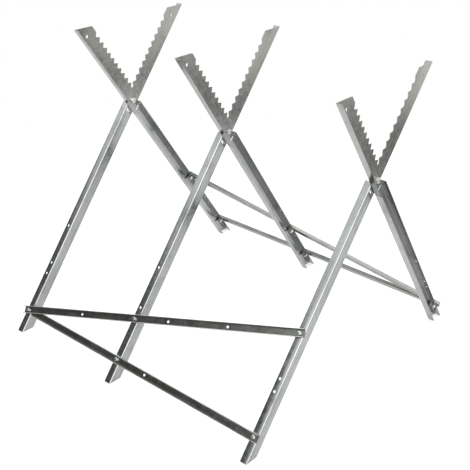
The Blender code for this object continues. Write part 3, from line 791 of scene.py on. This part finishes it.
def bolt_shape(name, sizes, thread):
    """A hex bolt: head below z = 0, chamfered and slightly domed, threaded shank up the Z axis."""
    corner = sizes.across / 2 / math.cos(math.pi / 6)
    top = -sizes.head
    head = hexagon(name, sizes.across, top, 0.0)
    crown = [(0.0, PAST), (CROWN[0][0] * corner, PAST)]
    crown += [(out * corner, up * top) for out, up in CROWN]
    combine(head, turned(name + "_crown", crown, ROUND_SIDES), "INTERSECT")
    root = 0.5 * sizes.head
    shank = grown(name + "_shank", bpy.data.meshes.new(name + "_shank"), thread, {
        "Diameter": sizes.shaft, "Pitch": sizes.pitch, "Depth": 0.55 * sizes.pitch,
        "Length": sizes.length, "Taper": 0.1 * sizes.shaft, "Root": root})
    combine(head, new_object(name + "_shank", shank), "UNION")
    return soften(head, HEAD_EDGE)


def nut_shape(name, sizes):
    """A hex nut from z = 0 upwards, its corners turned off at both faces, its bore countersunk."""
    flat = sizes.across / 2
    corner = flat / math.cos(math.pi / 6)
    height = sizes.nut
    face = 0.96 * flat
    fall = 0.6 * (corner - flat)
    nut = hexagon(name, sizes.across, 0.0, height)
    outside = [(0.0, height + TOUCH_GAP), (face, height + TOUCH_GAP), (face, height),
               (1.03 * corner, height - fall), (1.03 * corner, fall), (face, 0.0),
               (face, -TOUCH_GAP), (0.0, -TOUCH_GAP)]
    combine(nut, turned(name + "_chamfer", outside, ROUND_SIDES), "INTERSECT")
    bore = sizes.shaft / 2 + BORE_GAP
    sink = COUNTERSINK
    inside = [(0.0, -PAST), (bore + sink + PAST, -PAST), (bore, sink), (bore, height - sink),
              (bore + sink + PAST, height + PAST), (0.0, height + PAST)]
    combine(nut, turned(name + "_bore", inside, HOLE_SIDES))
    return soften(nut, NUT_EDGE)


def washer_shape(name, sizes):
    """A flat stamped washer from z = 0 upwards, rounded on its punched side."""
    inner = sizes.shaft / 2 + HOLE_GAP
    outer = sizes.washer / 2
    thick = sizes.washer_thick
    edge = 0.28 * thick
    corners = fold_arc(outer - edge, thick - edge, edge, math.pi / 2, 0.0, 4)
    profile = [(inner + edge / 2, thick)] + corners + [
        (outer, edge / 2), (outer - edge / 2, 0.0), (inner, 0.0), (inner, thick - edge / 2)]
    mesh = baked(turned(name, profile, ROUND_SIDES), name)
    mesh.shade_smooth()
    mesh.set_sharp_from_angle(angle=math.radians(32.0))
    return mesh


def axis_spots(node, aim):
    """Where a fastener's axis runs, and how far along its aim it starts."""
    side = aim.orthogonal().normalized()
    third = aim.cross(side)
    places = [frame["nodes"][node].matrix_world @ vertex.co
              for vertex in frame["nodes"][node].data.vertices]

    def spread(way):
        reach = [place.dot(way) for place in places]
        return min(reach), max(reach)
    centre = side * (sum(spread(side)) / 2) + third * (sum(spread(third)) / 2)
    return centre, spread(aim)[0]


def fastener_row(name, shape, rows, origin, body, looks, seed):
    """Stand the same fastener on every node in rows of (node, aim) as one piece on one body."""
    spots = []
    for node, aim in rows:
        centre, low = axis_spots(node, aim)
        spots.append(centre + aim * (low + origin))
    pattern = new_object(name + "_pattern", shape)
    mesh = grown(name, aimed_points(name + "_points", spots, [aim for node, aim in rows]),
                 looks["row"], {"Piece": pattern, "Seed": seed})
    bpy.data.objects.remove(pattern, do_unlink=True)
    mesh.materials.clear()
    mesh.materials.append(looks["plate"])
    claim(new_object(name, mesh), body, [node for node, aim in rows])


# ---- operators ----
LOOKS = {}
BRACE_SEED = 3
PIVOT_SEED = 11


def finish_metals(scene):
    """The zinc finishes and the trees that repeat shapes, made once."""
    if LOOKS:
        return LOOKS
    look = scene.sawhorse_finish
    LOOKS["leg"] = zinc_metal("galvanised_leg_steel", look.leg_light, look.leg_dark,
                              look.leg_roughness, ROLLED, *LEG_GRAIN, bow=BOW_CENTRE)
    # the front braces take darker colours than the rear ones: painted shade
    for side in SIDES:
        light, dark = (getattr(look, "%s_brace_%s" % (side, tone)) for tone in ("light", "dark"))
        LOOKS[side + "_brace"] = zinc_metal("galvanised_%s_brace_steel" % side, light, dark,
                                            look.brace_roughness, ROLLED, *BRACE_GRAIN,
                                            lip=LIP_START)
    LOOKS["plate"] = zinc_metal("zinc_plated_fastener_steel", look.plate_light, look.plate_dark,
                                look.plate_roughness, "", *PLATE_GRAIN)
    LOOKS["drill"] = drill_tree(LOOKS["leg"])
    LOOKS["thread"] = thread_tree(LOOKS["plate"])
    LOOKS["row"] = fastener_row_tree(LOOKS["plate"])
    return LOOKS


class SAWHORSE_OT_legs(bpy.types.Operator):
    """Press the six legs and stand them in their frames"""
    bl_idname = "sawhorse.make_legs"
    bl_label = "Legs"

    def execute(self, context):
        looks = finish_metals(context.scene)
        legs = context.scene.sawhorse_legs
        mesh = leg_pressing(legs, looks["leg"], looks["drill"])
        side_step, side_start, frame_step, frame_start = LEG_SHIFT
        for side_number, side in enumerate(SIDES):
            for number, name in enumerate(FRAMES):
                node = "%s_leg_%s" % (side, name)
                offset = Vector((0.0, side_step * side_number + side_start,
                                 frame_step * number + frame_start))
                stand(node + "_pressing", mesh, leg_place(side, name), side + "_frame", [node],
                      looks["leg"], offset)
        bpy.data.meshes.remove(mesh)
        return {"FINISHED"}


class SAWHORSE_OT_braces(bpy.types.Operator):
    """Fold and drill the four braces and lay them across the legs"""
    bl_idname = "sawhorse.make_braces"
    bl_label = "Braces"

    def execute(self, context):
        looks = finish_metals(context.scene)
        braces = context.scene.sawhorse_braces
        legs = context.scene.sawhorse_legs
        step = braces.sheet + TOUCH_GAP
        face = legs.brace_side + TOUCH_GAP
        lower = (leg_point("left", 0, face), leg_point("right", 0, face))
        upper = (leg_point("left", 0, face + step), leg_point("right", 3, face))
        spacing = (lower[1] - lower[0]).length
        slant = math.atan2(BRACE_HOLE_SPAN, spacing)
        edge = braces.width / 2
        trims = []
        for side, more in ((1, 0.0), (-1, braces.overhang)):
            crossing = (edge / math.cos(slant) + side * edge) / math.tan(slant)
            trims.append((side, crossing + braces.bend + more))
        kinds = (
            ("lower_brace", lower, (0.0, MIDDLE_SHARE, 1.0 - MIDDLE_SHARE, 1.0), trims),
            ("upper_brace", upper, (0.0, SPARE_SHARE, MIDDLE_SHARE, 1.0 - MIDDLE_SHARE,
                                    1.0 - SPARE_SHARE, 1.0), ()))
        side_step, kind_step, first = BRACE_SHIFT
        for number, (kind, (start, end), shares, cuts) in enumerate(kinds):
            mesh = brace_channel(braces, kind, (end - start).length, shares, cuts, looks["drill"])
            for side_number, side in enumerate(SIDES):
                turn = HALF_TURN if side == "rear" else Matrix.Identity(4)
                node = "%s_%s" % (side, kind)
                offset = Vector((0.0, 0.0, side_step * side_number + kind_step * number + first))
                stand(node + "_channel", mesh, turn @ brace_place(start, end), side + "_frame",
                      [node], looks[side + "_brace"], offset)
            bpy.data.meshes.remove(mesh)
        return {"FINISHED"}


class SAWHORSE_OT_brace_bolts(bpy.types.Operator):
    """Bolt the braces to the legs"""
    bl_idname = "sawhorse.make_brace_bolts"
    bl_label = "Brace bolts"

    def execute(self, context):
        looks = finish_metals(context.scene)
        sizes = context.scene.sawhorse_brace_bolts
        shapes = fastener_shapes("brace", sizes, looks)
        for seed, side in enumerate(SIDES, BRACE_SEED):
            turn = HALF_TURN.to_3x3() if side == "rear" else Matrix.Identity(3)
            aim = -(turn @ OUTWARD)
            for kind, (shape, origin) in shapes.items():
                rows = [("%s_brace_%s_%d" % (side, kind, number), aim) for number in range(1, 6)]
                fastener_row("%s_brace_%ss" % (side, kind), shape, rows, origin,
                             side + "_frame", looks, seed)
        return {"FINISHED"}


class SAWHORSE_OT_pivots(bpy.types.Operator):
    """Bolt each pair of legs together at the pivot"""
    bl_idname = "sawhorse.make_pivots"
    bl_label = "Pivot bolts"

    def execute(self, context):
        looks = finish_metals(context.scene)
        sizes = context.scene.sawhorse_pivots
        shapes = fastener_shapes("pivot", sizes, looks)
        aim = Vector((-1.0, 0.0, 0.0))
        shapes["head_washer"] = shapes["washer"]
        for kind, (shape, origin) in shapes.items():
            rows = [("pivot_%s_%s" % (kind, name), aim) for name in FRAMES]
            fastener_row("pivot_%ss" % kind, shape, rows, origin, "rear_frame", looks, PIVOT_SEED)
        return {"FINISHED"}


def fastener_shapes(name, sizes, looks):
    """A bolt, nut and washer, and how far each one's origin lies along its aim from its low end."""
    return {
        "bolt": (bolt_shape(name + "_bolt", sizes, looks["thread"]), sizes.head),
        "nut": (nut_shape(name + "_nut", sizes), 0.0),
        "washer": (washer_shape(name + "_washer", sizes), 0.0)}


CAMERA_PLACE = (1.32906, -1.69802, 1.39278)
CAMERA_AXES = ((0.7541976, 0.656287, 0.0217561), (0.3151327, -0.332682, -0.8888274),
               (-0.5760879, 0.6772076, -0.4577255))
CAMERA_SHIFT = (0.0638, -0.0064)
LAMP_PLACE = (0.9, -0.5, 3.2)
LAMP_TARGET = (0.0, 0.0, 0.4)
LAMP_SIZE = 2.4
FLOOR_DROP = 0.0006  # below the feet
FADE_START = 0.70  # share of the floor's radius where it starts to fade
STRIP_WAY = (0.69, -0.49, 0.53)  # towards the light that draws a bright line along the folds


class SAWHORSE_OT_stage(bpy.types.Operator):
    """Set out the pale floor, the soft light and the camera"""
    bl_idname = "sawhorse.make_stage"
    bl_label = "Stage"

    def execute(self, context):
        scene = context.scene
        look = scene.sawhorse_stage
        floor_disc(look)
        studio_light(scene, look)
        data = bpy.data.lights.new("soft_lamp", "AREA")
        data.shape = "DISK"
        data.size = LAMP_SIZE
        data.energy = look.key_light
        lamp = bpy.data.objects.new("soft_lamp", data)
        lamp.matrix_world = looking_at(Vector(LAMP_PLACE), Vector(LAMP_TARGET))
        scene.collection.objects.link(lamp)
        camera = bpy.data.cameras.new("camera")
        camera.lens = look.lens
        camera.shift_x, camera.shift_y = CAMERA_SHIFT
        camera.clip_start = 0.05
        camera.clip_end = 60.0
        viewer = bpy.data.objects.new("camera", camera)
        right, down, ahead = (Vector(row) for row in CAMERA_AXES)
        turn = Matrix((right, -down, -ahead)).transposed().to_4x4()
        viewer.matrix_world = Matrix.Translation(CAMERA_PLACE) @ turn
        scene.collection.objects.link(viewer)
        scene.camera = viewer
        return {"FINISHED"}


def looking_at(place, target):
    """A lamp's matrix at a place, shining at a target."""
    turn = (target - place).to_track_quat("-Z", "Y").to_matrix().to_4x4()
    return Matrix.Translation(place) @ turn


def floor_disc(look):
    """A pale round floor that fades away at its edge."""
    material = bpy.data.materials.new("pale_floor")
    material.use_nodes = True
    graph = Graph(material.node_tree)
    place = graph.node("ShaderNodeTexCoord").outputs["Object"]
    out = Value(graph, graph.vector("LENGTH", place)["Value"])
    speckle = graph.noise(place, 40.0, 3.0, 0.6)
    fade = out.smooth(FADE_START * look.floor_radius, look.floor_radius, 1.0, 0.0)
    pale = look.floor_colour
    base = graph.mix(speckle, (*pale, 1.0), (*[0.99 * part for part in pale], 1.0))
    shader = graph.node("ShaderNodeBsdfPrincipled", None, {
        "Base Color": base, "Roughness": 0.8, "Alpha": fade,
        "Emission Color": (1.0, 1.0, 1.0, 1.0), "Emission Strength": look.floor_glow})
    graph.node("ShaderNodeOutputMaterial", None, {"Surface": shader.outputs[0]})
    body = bmesh.new()
    bmesh.ops.create_circle(body, cap_ends=True, segments=96, radius=look.floor_radius)
    floor = from_bmesh("floor", body)
    floor.location.z = -FLOOR_DROP
    floor.data.materials.append(material)


def studio_light(scene, look):
    """White for the eye; for the metal, a bright ceiling, duller walls and a dark side."""
    world = bpy.data.worlds.new("studio_light")
    world.use_nodes = True
    scene.world = world
    graph = Graph(world.node_tree)
    way = graph.node("ShaderNodeTexCoord").outputs["Generated"]
    right, back, up = (graph.dot(way, axis) for axis in ((1, 0, 0), (0, 1, 0), (0, 0, 1)))
    front = back.smooth(-0.15, 0.35, 1.0, 0.0)
    ceiling = up.smooth(0.70, 0.95, look.top_light, look.zenith_light)
    wall = (up + back * 0.28).smooth(-0.115, -0.060, look.band_light, look.back_light)
    behind = wall + (ceiling - wall) * up.smooth(0.42, 0.56)
    lit = graph.math("MAXIMUM", (right + up * 0.7).smooth(-0.14, -0.03),
                     (up - right * 0.35).smooth(0.66, 0.76))
    card = up.smooth(-0.05, 0.22, look.low_light, look.card_light)
    ahead = card + (ceiling - card) * lit
    strip = graph.dot(way, STRIP_WAY).smooth(0.90, 0.97, 0.0, look.strip_light)
    light = behind + (ahead - behind) * front + strip
    tint = graph.mix(up.smooth(-0.3, 0.5), (1.0, 0.985, 0.945, 1.0), (0.945, 0.98, 1.0, 1.0))
    surroundings = graph.node("ShaderNodeBackground", None, {"Color": tint, "Strength": light})
    white = graph.node("ShaderNodeBackground", None,
                       {"Color": (1.0, 1.0, 1.0, 1.0), "Strength": 1.0})
    seen = graph.node("ShaderNodeLightPath").outputs["Is Camera Ray"]
    both = graph.node("ShaderNodeMixShader", None,
                      {0: seen, 1: surroundings.outputs[0], 2: white.outputs[0]})
    graph.node("ShaderNodeOutputWorld", None, {0: both.outputs[0]})
    scene.view_settings.view_transform = "Standard"


OPERATORS = (SAWHORSE_OT_legs, SAWHORSE_OT_braces, SAWHORSE_OT_brace_bolts, SAWHORSE_OT_pivots,
             SAWHORSE_OT_stage)
SETTINGS = {
    "sawhorse_legs": SawhorseLegSettings,
    "sawhorse_braces": SawhorseBraceSettings,
    "sawhorse_pivots": SawhorsePivotSettings,
    "sawhorse_brace_bolts": SawhorseBraceBoltSettings,
    "sawhorse_finish": SawhorseFinishSettings,
    "sawhorse_stage": SawhorseStageSettings,
}


class SAWHORSE_PT_panel(bpy.types.Panel):
    """Lists the pieces to make and their settings"""
    bl_idname = "SAWHORSE_PT_panel"
    bl_label = "Folding Sawhorse"
    bl_space_type = "VIEW_3D"
    bl_region_type = "UI"
    bl_category = "Sawhorse"

    def draw(self, context):
        for operator in OPERATORS:
            self.layout.operator(operator.bl_idname)
        for name, group in SETTINGS.items():
            box = self.layout.box()
            for setting in group.__annotations__:
                box.prop(getattr(context.scene, name), setting)


def register():
    for item in (*SETTINGS.values(), *OPERATORS, SAWHORSE_PT_panel):
        bpy.utils.register_class(item)
    for name, group in SETTINGS.items():
        setattr(bpy.types.Scene, name, PointerProperty(type=group))


def unregister():
    for name in SETTINGS:
        delattr(bpy.types.Scene, name)
    for item in reversed((*SETTINGS.values(), *OPERATORS, SAWHORSE_PT_panel)):
        bpy.utils.unregister_class(item)


def main():
    register()
    bpy.ops.sawhorse.make_legs()
    bpy.ops.sawhorse.make_braces()
    bpy.ops.sawhorse.make_brace_bolts()
    bpy.ops.sawhorse.make_pivots()
    bpy.ops.sawhorse.make_stage()


if __name__ == "__main__":
    main()
